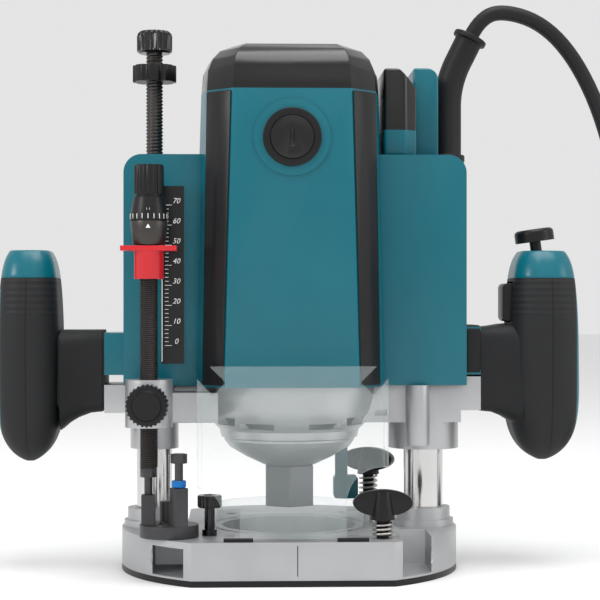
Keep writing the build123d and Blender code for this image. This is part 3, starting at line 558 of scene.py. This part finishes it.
rodFacts = dict(core=3.9 * mm, outer=4.35 * mm, inner=3.75 * mm, pitch=1.75 * mm, threadFrom=0.180)
rodAt = centreOf("upper_limit_rod")
rod = bmesh.new()
low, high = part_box("upper_limit_rod")
corePlace = Matrix.Translation((rodAt.x, rodAt.y, (rodFacts["threadFrom"] + low.z) / 2))
bmesh.ops.create_cone(rod, cap_ends=True, segments=24, radius1=rodFacts["core"], radius2=rodFacts["core"],
                      depth=rodFacts["threadFrom"] - low.z, matrix=corePlace)
thread(rod, (rodAt.x, rodAt.y, 0), rodFacts["threadFrom"], high.z, rodFacts["outer"], rodFacts["inner"],
       rodFacts["pitch"])
finishPiece(rod, "limitRod", "base", "darkThread", ["upper_limit_rod"], sharp=50)
rodKnobProfile = [(0, 261), (7.8, 261), (8.9, 262), (9.0, 263), (9.0, 269.6), (8.6, 271.2), (7.4, 272.3),
                  (0, 272.4)]
makeKnurled("rod_knob", "rodKnob", "base", rodKnobProfile, 18, 0.9, (262, 271.5, 8),
            (rodAt.x, rodAt.y, 0), "blackGloss")
softened("limit_nut", "limitNut", "limit_nut", "blackShell", 0.6 * mm, 2)

# Stop pole with its adjusting knob, dial and pointer

poleFacts = dict(outer=4.5 * mm, inner=4.1 * mm, pitch=1.0 * mm, low=0.0545, high=0.164)
poleAt = centreOf("stop_pole")
pole = bmesh.new()
thread(pole, (poleAt.x, poleAt.y, 0), poleFacts["low"], poleFacts["high"], poleFacts["outer"],
       poleFacts["inner"], poleFacts["pitch"], 18)
ringProfile = [(0, 162.2), (7.5, 162.2), (7.9, 162.7), (9.1, 173.2), (8.9, 173.7), (4.5, 173.7), (4.4, 195.9),
               (0, 195.9)]
poleRing = lathe([(r * mm, z * mm) for r, z in ringProfile])
joinInto(pole, moved(poleRing, (poleAt.x, poleAt.y, 0)))
finishPiece(pole, "stopPole", "stop_pole", "darkThread", ["stop_pole"], sharp=40)
knobProfile = [(0, 196.6), (4.55, 196.6), (4.55, 173.9), (8.9, 173.9), (9.2, 174.3), (9.1, 176.5),
               (7.6, 184.6), (7.3, 185.4), (6.7, 185.7), (6.7, 186.6), (7.2, 187), (7.2, 200.1), (6.6, 201),
               (0, 201)]
makeKnurled("pole_knob", "poleKnob", "pole_knob", knobProfile, 20, 0.55, (187, 200.2, 7),
            (poleAt.x, poleAt.y, 0))
softened("depth_pointer", "depthPointer", "depth_pointer", "redPointer", 0.5 * mm, 2)
clampAt = centreOf("pole_clamp_nut")
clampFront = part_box("pole_clamp_nut")[0].y
clampProfile = [(0, -20.0), (3, -20.0), (3, -13.4), (9.4, -13.4), (10.2, -12.6), (10.2, -3.0), (9.2, -1.5),
                (7.4, -1.4), (7.0, -0.9), (6.6, 0), (0, 0)]
makeKnurled("pole_clamp_nut", "clampNut", "pole_clamp_nut", clampProfile, 28, 0.8, (-12.8, -2.4, 9),
            (clampAt.x, clampFront, clampAt.z), turn=Matrix.Rotation(math.radians(90), 4, "X"))
print("rods done")


# Bracket, housing and covers

def twoTone(node, name, body, finishes, height):
    # One cover in two colours, parted at a height
    bm = nodeMesh(node)
    bevelSharp(bm, 1.4 * mm, 3)
    bmesh.ops.bisect_plane(bm, geom=bm.verts[:] + bm.edges[:] + bm.faces[:], plane_co=(0, 0, height),
                           plane_no=(0, 0, 1))
    piece = finishPiece(bm, name, body, finishes[0], [node])
    piece.data.materials.append(paints[finishes[1]].material)
    for face in piece.data.polygons:
        face.material_index = int(face.center.z > height)
    return piece


def roundedLoop(bm, x, halfY, low, high, corner, steps=6):
    # A rounded rectangle of vertices across the X axis
    loop = []
    middle, halfZ = (low + high) / 2, (high - low) / 2
    for k, (sy, sz) in enumerate(((1, 1), (-1, 1), (-1, -1), (1, -1))):
        for step in range(steps + 1):
            angle = math.radians(90 * k + 90 * step / steps)
            y = sy * (halfY - corner) + corner * math.cos(angle)
            z = middle + sz * (halfZ - corner) + corner * math.sin(angle)
            loop.append(bm.verts.new((x * mm, y * mm, z * mm)))
    return loop


def makeSleeve(name, rings, finish):
    # A closed skin through rounded sections, each (x, half depth, low, high, corner) in millimetres
    bm = bmesh.new()
    loops = [roundedLoop(bm, *ring) for ring in rings]
    for first, second in zip(loops, loops[1:]):
        for k in range(len(first)):
            after = (k + 1) % len(first)
            bm.faces.new((first[k], first[after], second[after], second[k]))
    for loop in (loops[0], loops[-1]):
        bm.faces.new(loop)
    bmesh.ops.recalc_face_normals(bm, faces=bm.faces)
    return finishPiece(bm, name, "motor", finish, sharp=40)


softened("motor_bracket", "motorBracket", "motor", "castBracket", 0.6 * mm, 3)
softened("motor_housing", "motorHousing", "motor", "tealShell", 1.0 * mm, 3)
softened("column_covers", "columnCovers", "motor", "tealShell", 1.4 * mm, 3)
softened("top_cover", "topCover", "motor", "blackGloss", 0.8 * mm, 3)
softened("side_trims", "sideTrims", "motor", "blackShell", 0.4 * mm, 2)
twoTone("switch_box", "switchBox", "motor", ("tealShell", "blackGloss"), 0.221)
softened("cord_box", "cordBox", "motor", "tealShell", 1.2 * mm, 3)
softened("brush_cap_rings", "brushRings", "motor", "blackShell", 0.4 * mm, 3)
softened("brush_caps", "brushCaps", "motor", "blackGloss", 0.3 * mm, 2)
softened("switch_trigger", "trigger", "switch_trigger", "blackShell", 0.6 * mm, 2)
softened("lock_lever", "lockLever", "lock_lever", "tealShell", 0.5 * mm, 2)
softened("grip_caps", "gripCaps", "motor", "tealShell", 0.5 * mm, 2)
neck = [(96.2, 16.6, 79.4, 121.6, 6), (102, 16.7, 78.8, 122.2, 6.5), (108, 17.6, 76.5, 123.2, 8),
        (113, 19, 73.5, 123.6, 9), (117, 20.5, 70, 123.8, 10)]
makeSleeve("rightNeck", neck, "softGrip")
seat = [(88.2, 16.6, 98.4, 121.8, 3), (89.2, 17.6, 97.4, 122.8, 3.5), (95.4, 17.6, 97.4, 122.8, 3.5),
        (96.1, 17, 98, 122.2, 3.5)]
makeSleeve("rightSeat", seat, "softGrip")
leftNeck = [(-x + 2, y, low, min(high, 120.4), corner) for x, y, low, high, corner in neck]
makeSleeve("leftNeck", leftNeck, "softGrip")


def makeStopRing():
    # The blue locking ring under the tall stop screw's head
    at = centreOf("high_stop_screw")
    ring = [(2.4, 45.7), (3.2, 45.7), (3.5, 46.1), (3.5, 48.6), (3.2, 49.0), (2.4, 49.0), (2.4, 45.7)]
    bm = moved(lathe([(r * mm, z * mm) for r, z in ring], 40), (at.x, at.y, 0))
    finishPiece(bm, "stopRing", "high_stop_screw", "blueRing")


def makeBaseGrooveShade():
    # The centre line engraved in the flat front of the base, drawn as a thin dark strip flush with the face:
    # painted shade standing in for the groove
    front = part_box("base_casting")[0].y
    bm = bmesh.new()
    addBox(bm, (1.8 * mm, front - 0.0001, 5 * mm), (2.2 * mm, front + 0.0001, 19.5 * mm))
    finishPiece(bm, "baseGrooveShade", "base", "carbon")


makeStopRing()
makeBaseGrooveShade()


# Depth scale: ticks and plain numbers on the black plate

scaleFacts = dict(zero=112.9, step=9.96, marks=8, left=-63.0, right=-55.2, text=4.6)


def textMesh(word, size, place, turn, shear=0.25):
    data = bpy.data.curves.new("word", "FONT")
    data.body = word
    data.size = size
    data.shear = shear
    data.extrude = 0.00004
    data.align_x = "CENTER"
    holder = bpy.data.objects.new("word", data)
    mesh = bpy.data.meshes.new_from_object(holder)
    bpy.data.objects.remove(holder)
    mesh.transform(Matrix.Translation(place) @ turn)
    return mesh


def makeScale():
    facts = scaleFacts
    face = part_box("scale_plate")[0].y
    bm = bmesh.new()
    upright = Matrix.Rotation(math.radians(90), 4, "X")
    for k in range(facts["marks"] * 5 - 4):
        z = facts["zero"] + k * facts["step"] / 5
        length = 3.4 if k % 5 == 0 else 1.8
        addBox(bm, ((facts["left"] + 0.6) * mm, face - 0.00012, (z - 0.12) * mm),
               ((facts["left"] + 0.6 + length) * mm, face + 0.0001, (z + 0.12) * mm))
    for k in range(facts["marks"]):
        z = facts["zero"] + k * facts["step"] + 0.9
        place = ((facts["right"] - 1.6) * mm, face - 0.00004, z * mm)
        word = textMesh(str(10 * k), facts["text"] * mm * 0.8, place, upright)
        bm.from_mesh(word)
        bpy.data.meshes.remove(word)
    low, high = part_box("scale_plate")
    addBox(bm, (low.x, face - 0.0001, low.z + 0.001), (low.x + 0.0004, face + 0.0001, high.z - 0.001))
    finishPiece(bm, "scaleMarks", "motor", "whiteInk")


def makeDial():
    # Ticks and numbers round the knob's skirt, with a mark on the ring below it
    facts = dict(ticks=20, each=4, tickZ=175.9, tickR=9.0, tickSize=(0.3, 0.5, 2.4),
                 wordZ=178.2, wordR=8.72, wordSize=3.4, lean=10.5, markZ=170.8, markOut=8.75, markR=1.3)
    bm = bmesh.new()
    for k in range(facts["ticks"]):
        turn = Matrix.Rotation(2 * math.pi * k / facts["ticks"], 4, "Z")
        place = Matrix.Translation((poleAt.x, poleAt.y, facts["tickZ"] * mm)) @ turn
        place = place @ Matrix.Translation((0, -facts["tickR"] * mm, 0))
        size = Matrix.Diagonal((*[side * mm for side in facts["tickSize"]], 1))
        bmesh.ops.create_cube(bm, size=1, matrix=place @ size)
        if k % facts["each"] == 0:
            turn = turn @ Matrix.Translation((0, -facts["wordR"] * mm, 0))
            turn = turn @ Matrix.Rotation(math.radians(90 - facts["lean"]), 4, "X")
            place = (poleAt.x, poleAt.y, facts["wordZ"] * mm)
            word = textMesh(str(k // facts["each"]), facts["wordSize"] * mm, place, turn, 0)
            bm.from_mesh(word)
            bpy.data.meshes.remove(word)
    finishPiece(bm, "dialMarks", "pole_knob", "whiteInk")
    bm = bmesh.new()
    place = Matrix.Translation((poleAt.x, poleAt.y - facts["markOut"] * mm, facts["markZ"] * mm))
    place = place @ Matrix.Rotation(math.radians(90), 4, "X")
    bmesh.ops.create_cone(bm, cap_ends=True, segments=3, radius1=facts["markR"] * mm,
                          radius2=facts["markR"] * mm, depth=0.6 * mm, matrix=place)
    finishPiece(bm, "dialPointer", "stop_pole", "whiteInk")


makeScale()
makeDial()
print("motor done")

# Finishes of the CAD nodes that show as they are

nodeFinish = {
    "blackShell": ["cooling_fan", "lock_button", "shaft_lock_button", "switch_module", "sole_plate"],
    "blackGloss": ["scale_plate"],
    "groundSteel": ["left_column", "right_column"],
    "turnedSteel": ["collet_cone", "spindle_bearings", "spindle", "field_stator", "armature"],
    "blackZinc": ["turret_pivot_screw", "housing_screws", "sole_screws"],
    "springWire": ["left_plunge_spring", "right_plunge_spring", "wing_springs"],
    "bronze": ["column_bushes", "brush_holders"],
    "copper": ["commutator"],
    "carbon": ["carbon_brushes"],
    "rubber": ["shield_seats"],
    "gripSkin": ["left_grip", "right_grip"],
}
for finish, names in nodeFinish.items():
    for name in names:
        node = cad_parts[name]
        node.data.materials.clear()
        node.data.materials.append(paints[finish].material)
print("finishes applied")

low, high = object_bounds()
